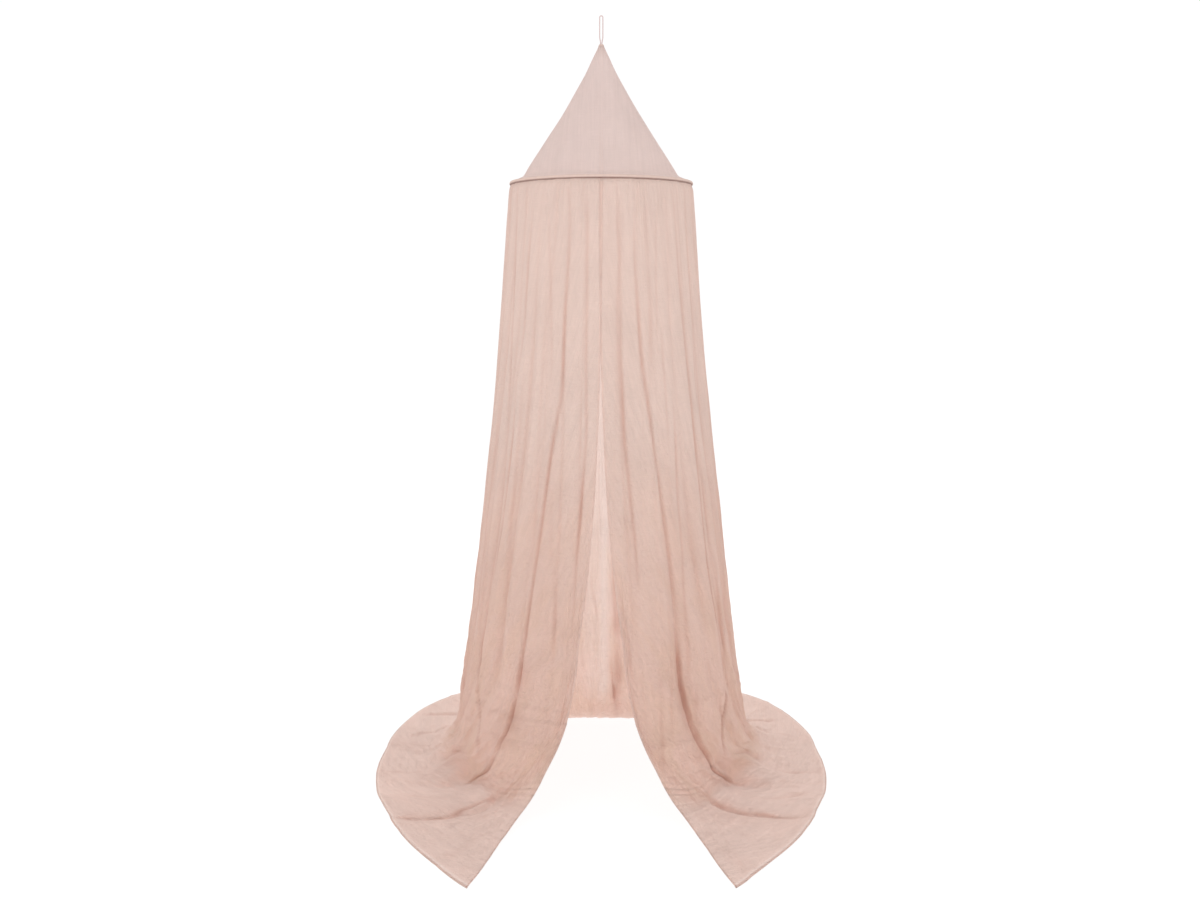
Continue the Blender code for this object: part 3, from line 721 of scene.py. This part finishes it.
def make_net(material):
    """One sheet from the left front edge, round the back, to the right front edge.

    The folds of half_net are moved along the surface's normal by fine gathers under the casing,
    by minor folds that run down between the big ones, by creases and by the gauze's crumple.
    """
    row_at = net_rows()
    halves = []
    for side in (-1, 1):
        fold_at = edge_columns(side, row_at)
        half, painted_shade = half_net(side, fold_at, row_at)
        push, painted_crease_shade = crease(half, row_at, side)
        across = fold_at if side < 0 else 2 * HALF_FOLDS - fold_at
        halves.append((half, painted_shade + painted_crease_shade, push, across))
    points, painted_shade, creases, across = (
        np.concatenate((left, right[:, -2::-1]), axis=1) for left, right in zip(*halves)
    )
    down = np.broadcast_to(row_at[:, None], across.shape)
    drop = HOOP_HEIGHT - (points[..., 2] - FLOOR_Z)
    to_edge = np.minimum(across, 2 * HALF_FOLDS - across)
    inner = smooth_step(0.02, 0.35, to_edge)
    on_floor = smooth_step(12.5, 15.5, down)

    # painted shade down the sides of the hanging part, azimuth 60 to 135 degrees
    at_side = window(60.0, 84.0, 112.0, 135.0, azimuths(points))
    painted_shade = painted_shade + 0.25 * at_side * (1.0 - smooth_step(10.0, 13.0, down))
    minor = soft_noise(across * 2.6, down * 0.33, 5) + 0.5 * soft_noise(across * 5.2, down * 0.5, 6)
    # painted shade in the valleys of the minor folds
    painted_shade = painted_shade + 0.10 * (1.0 + smooth_step(0.3, 1.2, drop)) * np.maximum(-minor - 0.1, 0.0)
    crumple = soft_noise(across * 7.0, down * 2.2, 7)
    crumple = crumple + 0.6 * soft_noise(across * 13.0, down * 4.5, 8)
    # painted shade in the crumple's dents
    dents = np.maximum(-crumple - 0.2, 0.0) * inner
    painted_shade = painted_shade + 0.14 * smooth_step(0.4, 1.4, drop) * dents
    minor = minor * (0.0010 + 0.0022 * smooth_step(0.1, 1.2, drop)) * (1.0 - 0.3 * on_floor)
    crumple = crumple * (0.0004 + 0.0020 * smooth_step(0.4, 1.5, drop))

    # the hems: painted lighter in the material, and calmer in crumple
    column = np.arange(points.shape[1])
    hem_side = np.minimum(column, column[::-1]) <= SIDE_HEM_STEPS - 1
    hem_foot = smooth_step(FOOT_HEM_ROWS[0] - 0.05, FOOT_HEM_ROWS[0], down)
    hem = np.maximum(hem_foot, hem_side.astype(float))
    landing = bell(down, 14.4, 1.3) * smooth_step(9.0, 12.0, to_edge)
    front = bell(down, 13.9, 1.3) * (1.0 - smooth_step(1.2, 2.2, to_edge))
    toe = bell(to_edge, 3.2, 1.0) * bell(down, 14.4, 1.6)
    calm = (1.0 - 0.9 * landing) * (1.0 - 0.85 * toe)
    shift = fine_gathers(across, down, drop) + minor * inner * calm
    shift = shift + crumple * calm * (1.0 - 0.7 * hem) * (1.0 - 0.8 * front)
    normals = grid_normals(points)
    outwards = np.sign((normals * points * (1, 1, 0)).sum(-1) + 1e-9)
    facing = np.sign(np.where(on_floor > 0.5, np.sign(normals[..., 2] + 1e-9), outwards).mean())
    shift = shift + facing * creases * smooth_step(0.0, 0.10, to_edge)
    painted_backlight = painted_backlight_band(points, down)
    points = points + normals * shift[..., None]
    points[..., 2] = np.maximum(points[..., 2], FLOOR_Z + 0.0024)

    u = lengths_along(points, axis=1)
    u = u - u[:, [points.shape[1] // 2]]
    sheet = {
        "points": points,
        "uv": np.stack((u, -lengths_along(points)), axis=-1),
        "painted_shade": np.maximum(painted_shade, 0.0),
        "hem": hem,
        "painted_backlight": painted_backlight,
        # where painted light from the floor makes the train paler
        "train": smooth_step(13.0, 15.5, down),
    }
    normals = grid_normals(points)
    hem_lines = (
        (points[:, SIDE_HEM_STEPS - 1], normals[:, SIDE_HEM_STEPS - 1]),
        (points[:, -SIDE_HEM_STEPS], normals[:, -SIDE_HEM_STEPS]),
        (points[-FOOT_HEM_STEPS - 1], normals[-FOOT_HEM_STEPS - 1]),
    )
    for edge in ("left", "right"):
        sheet = fold_hem(sheet, edge, grid_normals(sheet["points"]))
    upright = np.broadcast_to((0.0, 0.0, 1.0), sheet["points"].shape)
    sheet = fold_hem(sheet, "foot", upright)
    points = sheet.pop("points")
    points[..., 2] = np.maximum(points[..., 2], FLOOR_Z + 0.0004)
    uv = sheet.pop("uv")
    net = put_mesh("net", points, grid_faces(points.shape[:2]), material, uv=uv, values=sheet)
    return net, hem_lines


# --- The roof, its tip and its seam ------------------------------------------------------------


def seam_columns(radius, half_width, steps, count):
    """Turns in radians round a row of that radius: the seam's own columns at fixed distances from
    the front, then even ones round the back, from and to the seam's edges."""
    reach = np.minimum(half_width / radius, 0.7)[:, None]
    seam = np.linspace(-1.0, 1.0, steps + 1) * reach
    share = np.linspace(0.0, 1.0, count + 1)[1:-1]
    rest = reach + share * (math.tau - 2.0 * reach)
    return np.concatenate((seam, rest), axis=1)


def turned_points(turn, radius, height):
    """Points at a turn from the front, seen from above: x = r sin(turn), y = -r cos(turn)."""
    parts = np.broadcast_arrays(radius * np.sin(turn), -radius * np.cos(turn), height)
    return np.stack(parts, axis=-1)


def make_roof(material):
    """The cone: ROOF_PROFILE turned round, with a lapped seam at the front.

    It is moved along its normal by shallow hollows between the lines of tension that run up to
    the tip, by fine puckers at the tip and at the casing, and by the seam's extra layers.
    """
    profile = columns(ROOF_COLUMNS, ROOF_PROFILE)
    row_at = np.concatenate((np.linspace(0, 3, 13)[:-1], np.linspace(3, 12, ROOF_ROWS)))
    radius = along_rows(profile["radius"], row_at)
    height = HOOP_Z + along_rows(profile["above_hoop"], row_at)
    turn = seam_columns(radius, ROOF_SEAM_HALF_WIDTH + 0.002, ROOF_SEAM_STEPS, ROOF_TURNS)
    points = turned_points(turn, radius[:, None], height[:, None])
    distance = np.angle(np.exp(1j * turn)) * radius[:, None]
    down = row_at[:, None]
    slack = np.sin(turn * 7 + 1.9 * soft_noise(turn * 2.0, down * 0.35, 71)) * 0.0010
    slack = slack * window(4.0, 7.0, 9.5, 11.5, down)
    tip = np.sin(turn * 17 + 2.0 * soft_noise(turn * 3.0, down, 72)) * 0.00035
    tip = tip * (1.0 - smooth_step(3.2, 5.0, down))
    pucker = np.sin(turn * 74 + 3.0 * soft_noise(turn * 9.0, down * 0.2, 73)) * 0.00045
    pucker = pucker * smooth_step(8.8, 10.2, down) * (1.0 - 0.5 * smooth_step(11.0, 12.0, down))
    limp = 0.0007 * soft_noise(turn * 5.0 + 3, down * 1.6, 74) * smooth_step(3.5, 5.0, down)
    half = ROOF_SEAM_HALF_WIDTH
    inside = window(-half - 0.0006, -half + 0.0006, half, half + 0.001, distance)
    lines = bell(np.abs(distance), ROOF_STITCH_LINE, 0.0009)
    seam = (0.0007 * inside - 0.0003 * lines) * window(2.5, 4.0, 11.0, 11.6, down)
    normals = grid_normals(points)
    normals = normals * np.sign((normals * points * (1, 1, 0)).sum(-1).mean())
    points = points + normals * (slack + tip + pucker + limp + seam)[..., None]
    along = lengths_along(np.stack((radius, height), axis=-1))
    uv = np.stack(np.broadcast_arrays(distance, -along[:, None]), axis=-1)
    faces = grid_faces(points.shape[:2], wrap=True)
    at_tip = np.broadcast_to(1 - smooth_step(2.6, 4.2, down), turn.shape)
    roof = put_mesh("roof", points, faces, material, uv=uv, values={"tip": at_tip})
    lines = []
    radius, height = radius[ROOF_STITCHED_ROWS], height[ROOF_STITCHED_ROWS]
    for side in (-1, 1):
        turn = side * np.minimum(ROOF_STITCH_LINE / radius, 0.6)
        outwards = turned_points(turn, *(np.full_like(turn, share) for share in ROOF_OUTWARDS))
        lines.append((turned_points(turn, radius + 0.0004, height), outwards))
    return roof, lines


def make_tip_whipping(material):
    """Thread wound round the gathered tip: one helix whose radius follows the cloth's."""
    turns = np.linspace(0.0, 7.0 * math.tau, 260)
    share = turns / turns[-1]
    radius = 0.0061 - 0.0003 * np.sin(math.pi * share) + 0.0017 * share
    path = turned_points(turns, radius, TIP_Z + 0.0004 - 0.0034 * share)
    return make_tube("tip_whipping", path, 0.00032, 8, material)


# --- The casing ---------------------------------------------------------------------------------


def casing_surface(turn, section, lift=0.0):
    """Points of the casing at a turn round the hoop and an angle round its tube: outwards is 0,
    up is a quarter turn. The strip starts at the mouth, goes once round and laps over itself."""
    puckers = 0.00012 * np.sin(turn * 190 + 4.0 * soft_noise(turn * 30, section, 81))
    slubs = 0.00016 * soft_noise(turn * 34, section * 1.4, 82)
    from_mouth = section - math.radians(CASING_MOUTH_DEG)
    lap = 0.00055 * smooth_step(math.tau - 0.35, math.tau - 0.05, from_mouth)
    joint = 0.0005 * window(3.05, 3.06, 3.20, 3.22, turn)
    groove = 0.0004 * bell(section, CASING_SEAM, 0.09)
    radius = CASING_RADIUS + puckers + slubs + lap + joint - groove + lift
    across = HOOP_RADIUS + radius * np.cos(section)
    return turned_points(turn, across, HOOP_Z + radius * np.sin(section))


def make_casing(material):
    """The strip of cloth round the hoop: casing_surface from the mouth, once round and a lap."""
    turn = np.linspace(0.0, math.tau, CASING_TURNS + 1)[:-1][None, :]
    section = np.linspace(0.0, math.tau + CASING_LAP, CASING_STEPS + 1)[:, None]
    section = section + math.radians(CASING_MOUTH_DEG)
    turn, section = np.broadcast_arrays(turn, section)
    points = casing_surface(turn, section)
    uv = np.stack((turn * HOOP_RADIUS, section * CASING_RADIUS), axis=-1)
    # painted shade on the underside of the casing's tube, partly the seam allowance's darker colour
    # showing through
    low = smooth_step(0.15, -0.75, np.sin(section))
    faces = grid_faces(points.shape[:2], wrap=True)[:, ::-1]
    casing = put_mesh("casing", points, faces, material, uv=uv, values={"low": 1.8 * low})
    line = casing_surface(turn[0], np.full(CASING_TURNS, CASING_SEAM), 0.0002)
    out = turned_points(turn[0], math.cos(CASING_SEAM), math.sin(CASING_SEAM))
    return casing, [(line, out)]


def close_seam(piece):
    """Joins the points that a closed grid repeats, and turns its faces outwards."""
    work = bmesh.new()
    work.from_mesh(piece.data)
    bmesh.ops.remove_doubles(work, verts=work.verts, dist=1e-6)
    bmesh.ops.recalc_face_normals(work, faces=work.faces)
    work.to_mesh(piece.data)
    work.free()


# --- Cord and thread ----------------------------------------------------------------------------


def frames_along(path):
    """Two unit directions at right angles to a path at each point, turned as little as may be."""
    along = np.gradient(path, axis=0)
    along /= np.linalg.norm(along, axis=1)[:, None]
    start = np.cross(along[0], (0.0, 1.0, 0.0))
    if np.linalg.norm(start) < 0.1:
        start = np.cross(along[0], (1.0, 0.0, 0.0))
    sides = [start / np.linalg.norm(start)]
    for direction in along[1:]:
        side = sides[-1] - direction * np.dot(sides[-1], direction)
        sides.append(side / np.linalg.norm(side))
    sides = np.array(sides)
    return sides, np.cross(along, sides)


def make_tube(name, path, radius, around, material, strands=0, pitch=1.0):
    """A closed tube along a path, with as many faces around as said. With n strands, its radius is
    r (1 - 0.16 (1 - |sin(n / 2 (a - twist))|)^1.5), and the twist is one turn in each pitch."""
    side, other = frames_along(path)
    length = lengths_along(path)
    angle = np.linspace(0.0, math.tau, around + 1)[:-1][None, :]
    size = np.full((len(path), around), radius)
    if strands:
        twist = math.tau * length[:, None] / pitch
        size = radius * (1.0 - 0.16 * (1.0 - np.abs(np.sin(strands / 2 * (angle - twist)))) ** 1.5)
    ring = side[:, None] * np.cos(angle)[..., None] + other[:, None] * np.sin(angle)[..., None]
    points = path[:, None] + ring * size[..., None]
    start, end = (np.repeat(path[i, None, None], around, 1) for i in (0, -1))
    points = np.concatenate((start, points, end))
    length = np.concatenate((length[:1], length, length[-1:]))
    uv = np.stack(np.broadcast_arrays(angle * radius, length[:, None]), axis=-1)
    tube = put_mesh(name, points, grid_faces(points.shape[:2], wrap=True), material, uv=uv)
    close_seam(tube)
    return tube


def loop_path():
    """The cord's middle line: up one strand, half a circle over the hook, and down the other."""
    rise = np.linspace(LOOP_SEWN_Z, LOOP_BEND_Z, 90)
    share = smooth_step(LOOP_NECK_Z, LOOP_OPEN_Z, rise)
    half = LOOP_NECK_HALF_WIDTH + (LOOP_HALF_WIDTH - LOOP_NECK_HALF_WIDTH) * share
    sag = 0.0002 * np.sin((rise - LOOP_SEWN_Z) * 160.0)
    up = np.stack((-half, sag, rise), axis=1)
    bend = np.linspace(math.pi, 0.0, 26)[1:-1]
    x, z = LOOP_HALF_WIDTH * np.cos(bend), LOOP_BEND_Z + LOOP_HALF_WIDTH * np.sin(bend)
    over = np.stack((x, np.full_like(x, sag[-1]), z), axis=1)
    down = up[::-1] * (-1, 1, 1)
    return np.concatenate((up, over, down))


def make_stitches(name, lines, material):
    """Short rounded stitches along lines of (points, normals), one every pitch of length.

    Each is a six-sided ring profile carried along a straight bit of the line, sunk at both ends.
    """
    along = np.array((-0.5, -0.5, -0.34, 0.34, 0.5, 0.5)) * STITCH_LENGTH
    size = np.array((0.0, 0.45, 1.0, 1.0, 0.45, 0.0))
    sink = np.array((1.0, 1.0, 0.0, 0.0, 1.0, 1.0)) * -0.7
    angle = np.linspace(0.0, math.tau, 7)[:-1]
    places, directions, ups = [], [], []
    for line, normal in lines:
        reach = lengths_along(line)
        at = np.arange(STITCH_PITCH, reach[-1] - STITCH_PITCH, STITCH_PITCH)
        place, ahead, up = (
            np.stack([np.interp(x, reach, values[:, k]) for k in range(3)], axis=1)
            for x, values in ((at, line), (at + 0.3 * STITCH_PITCH, line), (at, normal))
        )
        places.append(place)
        directions.append(ahead - place)
        ups.append(up)
    place, direction, up = (np.concatenate(v) for v in (places, directions, ups))
    direction /= np.linalg.norm(direction, axis=1)[:, None]
    up = up - direction * (up * direction).sum(1)[:, None]
    up /= np.linalg.norm(up, axis=1)[:, None]
    axes = np.stack((direction, np.cross(up, direction), up), axis=1)
    local = np.stack(np.broadcast_arrays(
        along[:, None],
        STITCH_RADIUS * size[:, None] * np.cos(angle),
        STITCH_RADIUS * (size[:, None] * np.sin(angle) + sink[:, None] + 0.4),
    ), axis=-1).reshape(-1, 3)
    points = place[:, None] + local @ axes
    faces = grid_faces((len(size), len(angle)), wrap=True)
    faces = faces[None] + len(local) * np.arange(len(place))[:, None, None]
    stitches = put_mesh(name, points, faces.reshape(-1, 4), material)
    close_seam(stitches)
    return stitches


# --- Materials ----------------------------------------------------------------------------------


def add_node(tree, kind, inputs=(), **settings):
    """A node of that kind, with its settings, whose inputs are numbers or other nodes' outputs."""
    made = tree.nodes.new("ShaderNode" + kind)
    for name, value in settings.items():
        setattr(made, name, value)
    for key, value in dict(inputs).items():
        if isinstance(value, bpy.types.NodeSocket):
            tree.links.new(value, made.inputs[key])
        else:
            made.inputs[key].default_value = value
    return made


def maths(tree, operation, first, second=0.0, third=0.5):
    """The value of a Math node. MULTIPLY_ADD multiplies the first two and adds the third."""
    inputs = {0: first, 1: second, 2: third}
    return add_node(tree, "Math", inputs, operation=operation).outputs[0]


def ramp(tree, value, start, end, low, high):
    """A value taken from start..end to low..high, and held there."""
    ends = {"From Min": start, "From Max": end, "To Min": low, "To Max": high}
    return add_node(tree, "MapRange", {"Value": value, **ends}).outputs[0]


def noise(tree, place, scale, detail, stretch=None, **more):
    """A noise texture's value at a place, which a Mapping node stretches first where told to."""
    if stretch:
        place = add_node(tree, "Mapping", {"Vector": place, "Scale": stretch}).outputs[0]
    inputs = {"Vector": place, "Scale": scale, "Detail": detail, **more}
    return add_node(tree, "TexNoise", inputs).outputs[0]


def attribute(tree, name):
    """The value that put_mesh stores under that name, or 0 on a piece without it."""
    return add_node(tree, "Attribute", attribute_name=name).outputs["Fac"]


def new_material(name):
    """A material, its node tree and its shader."""
    material = bpy.data.materials.new(name)
    material.use_nodes = True
    return material, material.node_tree, material.node_tree.nodes["Principled BSDF"]


def set_inputs(node, values):
    """Sets the named inputs of a node to numbers or colours."""
    for name, value in values.items():
        node.inputs[name].default_value = value


def blend_colours(tree, share, first, second):
    """The first colour where share is 0, the second where it is 1."""
    mix = add_node(tree, "Mix", {0: share, 6: first, 7: second}, data_type="RGBA")
    return mix.outputs[2]


def new_group(name, inputs, outputs):
    """A shader node group with named number inputs and outputs, and a vector where marked so."""
    group = bpy.data.node_groups.new(name, "ShaderNodeTree")
    for label, value in inputs:
        kind = "NodeSocketVector" if value is None else "NodeSocketFloat"
        socket = group.interface.new_socket(label, in_out="INPUT", socket_type=kind)
        if value is not None:
            socket.default_value = value
    for label in outputs:
        group.interface.new_socket(label, in_out="OUTPUT", socket_type="NodeSocketFloat")
    given, result = group.nodes.new("NodeGroupInput"), group.nodes.new("NodeGroupOutput")
    return group, given.outputs, result.inputs


def weave_group():
    """Plain weave: threads cross over and under as sin(pi u / pitch) sin(pi v / pitch), each a
    little uneven in place. Puts out the threads' height and the pale slubs."""
    group, given, result = new_group(
        "plain_weave", (("Cloth", None), ("Pitch", 0.0009)), ("Threads", "Slubs")
    )
    stray = maths(group, "SUBTRACT", noise(group, given["Cloth"], 90.0, 1.0), 0.5)
    stray = maths(group, "MULTIPLY", stray, 0.0008)
    parts = add_node(group, "SeparateXYZ", {0: given["Cloth"]})
    waves = []
    for axis in (0, 1):
        place = maths(group, "ADD", parts.outputs[axis], stray)
        turns = maths(group, "DIVIDE", maths(group, "MULTIPLY", place, math.pi), given["Pitch"])
        waves.append(maths(group, "SINE", turns))
    crossing = maths(group, "MULTIPLY", waves[0], waves[1])
    group.links.new(maths(group, "MULTIPLY_ADD", crossing, 0.5, 0.5), result["Threads"])
    slubs = [
        noise(group, given["Cloth"], 1.0, 1.0, stretch)
        for stretch in ((900.0, 26.0, 1.0), (26.0, 900.0, 1.0))
    ]
    slubs = maths(group, "ADD", slubs[0], maths(group, "SUBTRACT", slubs[1], 1.0))
    group.links.new(slubs, result["Slubs"])
    return group


def crinkle_group():
    """The gauze's crinkle. Wrinkles are long narrow ones down the cloth and shorter ones across
    it, Mottle and Streaks are shifts in tone in patches and down the cloth, and Warmth is where
    it is warmer in colour."""
    group, given, result = new_group(
        "gauze_crinkle", (("Cloth", None),), ("Wrinkles", "Mottle", "Streaks", "Warmth")
    )
    cloth = given["Cloth"]
    heights = []
    for stretch, detail, bend in (
        ((150.0, 38.0, 1.0), 3.0, 0.9), ((62.0, 30.0, 1.0), 2.0, 1.6), ((70.0, 190.0, 1.0), 2.0, 0.7),
    ):
        height = noise(group, cloth, 1.0, detail, stretch, Roughness=0.55, Distortion=bend)
        heights.append(maths(group, "ABSOLUTE", maths(group, "SUBTRACT", height, 0.5)))
    total = maths(group, "ADD", heights[0], maths(group, "ADD", heights[1], heights[2]))
    for output, value in (
        ("Wrinkles", total),
        ("Mottle", noise(group, cloth, 7.0, 4.0, Roughness=0.6)),
        ("Streaks", noise(group, cloth, 1.0, 3.0, (95.0, 4.0, 1.0), Distortion=0.4)),
        ("Warmth", noise(group, cloth, 1.0, 2.0, (17.0, 5.0, 1.0), Distortion=0.6)),
    ):
        group.links.new(value, result[output])
    return group


def cloth_material(name, groups, darkening_at, colours, pitch, depths, see_through):
    """A cloth's material. darkening_at names the attribute that says where its second, darker colour
    shows, which on the net and the casing is painted shade. depths are the heights in metres of its
    threads and its wrinkles, and see_through is how much of its look comes from light that passes
    through it."""
    material, tree, shader = new_material(name)
    uv = add_node(tree, "UVMap", uv_map="cloth").outputs[0]
    threads, wrinkles = (add_node(tree, "Group", node_tree=group) for group in groups)
    for made in (threads, wrinkles):
        tree.links.new(uv, made.inputs["Cloth"])
    threads.inputs["Pitch"].default_value = pitch
    place = add_node(tree, "TexCoord").outputs["Object"]
    up = add_node(tree, "SeparateXYZ", {0: place}).outputs[2]
    lower = ramp(tree, up, -1.1, -1.95, 0.0, 1.0)
    crest, darkening, low = colours
    colour = blend_colours(tree, lower, crest, low)
    warm = ramp(tree, wrinkles.outputs["Warmth"], 0.42, 0.62, 0.0, 0.5)
    colour = blend_colours(tree, maths(tree, "MULTIPLY", lower, warm), colour, WARM_COLOUR)
    # painted light: the cloth on the floor paler, as if lit through from the floor below
    colour = blend_colours(tree, attribute(tree, "train"), colour, UNDERLIT_TRAIN_COLOUR)
    # painted shade in the darker places, painted light at the hems and down the middle of the back
    for held, share, other in (
        (darkening_at, 0.5, darkening), ("hem", 0.65, HEM_COLOUR), ("painted_backlight", 0.45, PAINTED_BACKLIGHT_COLOUR),
    ):
        share = maths(tree, "MULTIPLY", attribute(tree, held), share)
        colour = blend_colours(tree, share, colour, other)
    mottle = maths(tree, "MULTIPLY_ADD", wrinkles.outputs["Mottle"], 0.16, 0.92)
    grain = maths(tree, "MULTIPLY_ADD", threads.outputs["Slubs"], 0.10, 0.96)
    streaks = maths(tree, "MULTIPLY_ADD", wrinkles.outputs["Streaks"], 0.13, 0.935)
    shade = maths(tree, "MULTIPLY", maths(tree, "MULTIPLY", mottle, grain), streaks)
    colour = add_node(tree, "VectorMath", {0: colour, "Scale": shade}, operation="SCALE").outputs[0]
    tree.links.new(colour, shader.inputs["Base Color"])
    height = maths(tree, "MULTIPLY", wrinkles.outputs["Wrinkles"], depths[1] / depths[0])
    height = maths(tree, "MULTIPLY", height, ramp(tree, up, -0.6, -1.9, 0.5, 1.7))
    height = maths(tree, "ADD", height, threads.outputs["Threads"])
    bump = add_node(tree, "Bump", {"Strength": 1.0, "Distance": depths[0], "Height": height})
    tree.links.new(bump.outputs[0], shader.inputs["Normal"])
    rough = maths(tree, "MULTIPLY_ADD", threads.outputs["Threads"], 0.12, 0.82)
    tree.links.new(rough, shader.inputs["Roughness"])
    set_inputs(shader, CLOTH_FINISH)
    if see_through:
        paler = blend_colours(tree, 0.13, colour, WHITE)
        behind = add_node(tree, "BsdfTranslucent", {"Color": paler, "Normal": bump.outputs[0]})
        shaders = {0: see_through, 1: shader.outputs[0], 2: behind.outputs[0]}
        both = add_node(tree, "MixShader", shaders)
        tree.links.new(both.outputs[0], tree.nodes["Material Output"].inputs["Surface"])
    return material


def plain_material(name, colour, roughness, scale, depth):
    """Fine moulded or spun grain on Object coordinates, as small bumps and shifts in tone."""
    material, tree, shader = new_material(name)
    grain = noise(tree, add_node(tree, "TexCoord").outputs["Object"], scale, 3.0)
    tone = maths(tree, "MULTIPLY_ADD", grain, 0.18, 0.91)
    tinted = add_node(tree, "VectorMath", {0: colour, "Scale": tone}, operation="SCALE")
    tree.links.new(tinted.outputs[0], shader.inputs["Base Color"])
    rough = maths(tree, "MULTIPLY_ADD", grain, 0.15, roughness - 0.07)
    tree.links.new(rough, shader.inputs["Roughness"])
    bump = add_node(tree, "Bump", {"Strength": 1.0, "Distance": depth, "Height": grain})
    tree.links.new(bump.outputs[0], shader.inputs["Normal"])
    return material


# --- Camera, light and stage ------------------------------------------------------------------


def make_camera():
    """The photograph's view."""
    camera = bpy.data.cameras.new("camera")
    camera.sensor_width = 36.0
    camera.lens = CAMERA_LENS
    camera.clip_end = 200.0
    holder = put_object("camera", camera)
    holder.location = CAMERA_PLACE
    holder.rotation_euler = (math.radians(CAMERA_TILT_DEG), 0.0, 0.0)
    bpy.context.scene.camera = holder


def make_stage():
    """A pale floor that glows a little, as on a lit studio table."""
    corners = [(-1, -1), (1, -1), (1, 1), (-1, 1)]
    points = np.array([(x * FLOOR_REACH, y * FLOOR_REACH, FLOOR_Z) for x, y in corners])
    material, _, shader = new_material("pale_floor")
    set_inputs(shader, FLOOR_FINISH)
    floor = put_mesh("floor", points, np.array([(0, 1, 2, 3)]), material, smooth=False)


def make_light():
    """White surroundings, dimmer for the light that they cast, and three round lamps."""
    world = bpy.data.worlds.new("studio")
    bpy.context.scene.world = world
    world.use_nodes = True
    tree = world.node_tree
    seen = tree.nodes["Background"]
    set_inputs(seen, {"Color": WHITE, "Strength": 1.02})
    lit = add_node(tree, "Background", {"Color": (1.0, 0.995, 0.985, 1.0), "Strength": 0.78})
    to_camera = add_node(tree, "LightPath").outputs["Is Camera Ray"]
    mix = add_node(tree, "MixShader", {0: to_camera, 1: lit.outputs[0], 2: seen.outputs[0]})
    tree.links.new(mix.outputs[0], tree.nodes["World Output"].inputs["Surface"])
    for name, place, aim, size, power in LAMPS:
        lamp = bpy.data.lights.new(name, "AREA")
        lamp.shape = "DISK"
        lamp.size = size
        lamp.energy = power
        holder = put_object(name, lamp)
        holder.location = place
        x, y, z = np.array(place) - np.array(aim)
        holder.rotation_euler = (math.atan2(math.hypot(x, y), z), 0.0, math.atan2(x, -y))


def wear(piece, slot, *nodes):
    """Each piece moves with the one body and may stand for nodes, whose CAD parts it hides. slot is
    not used.
    """
    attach(piece, "root")
    if nodes:
        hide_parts(*nodes)


def main():
    """The view, the materials, then each piece and the CAD parts that it stands for."""
    make_camera()
    make_stage()
    make_light()
    bpy.context.scene.view_settings.view_transform = "Standard"

    groups = weave_group(), crinkle_group()
    gauze = cloth_material(
        "blush_gauze", groups, "painted_shade", GAUZE_COLOURS, 0.0011, (0.00012, 0.0034), 0.52,
    )
    roof_cloth = cloth_material(
        "blush_roof_cotton", groups, "tip", ROOF_COLOURS, 0.0006, (0.00006, 0.0003), 0.42,
    )
    binding = cloth_material(
        "blush_binding", groups, "low", BINDING_COLOURS, 0.0006, (0.00006, 0.0004), 0.0,
    )
    cord_cotton = plain_material("blush_cord", (0.68, 0.53, 0.52), 0.85, 900.0, 0.0001)
    thread = plain_material("blush_thread", (0.80, 0.63, 0.57), 0.75, 2400.0, 0.00003)
    pale_thread = plain_material("pale_blush_thread", (0.94, 0.76, 0.685), 0.75, 2400.0, 0.00003)
    plastic = plain_material("white_hoop_plastic", (0.80, 0.79, 0.76), 0.45, 260.0, 0.00002)

    net, hem_lines = make_net(gauze)
    hem_stitching = make_stitches("net_hem_stitching", hem_lines, pale_thread)
    wear(net, "net", "net_skirt")
    wear(hem_stitching, "net")

    roof, seam_lines = make_roof(roof_cloth)
    seam_stitching = make_stitches("roof_seam_stitching", seam_lines, thread)
    whipping = make_tip_whipping(thread)
    wear(roof, "roof_cloth", "roof_cone")
    wear(seam_stitching, "roof_cloth")
    wear(whipping, "roof_cloth")

    casing, casing_lines = make_casing(binding)
    casing_stitching = make_stitches("casing_stitching", casing_lines, thread)
    wear(casing, "binding", "hoop_casing")
    wear(casing_stitching, "binding")

    path = loop_path()
    loop = make_tube(
        "loop_cord", path, LOOP_CORD_RADIUS, 20, cord_cotton, strands=CORD_STRANDS, pitch=CORD_LAY,
    )
    wear(loop, "cord", "hanging_loop")

    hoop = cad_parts["hoop"]
    for place in hoop.material_slots:
        place.material = plastic


main()
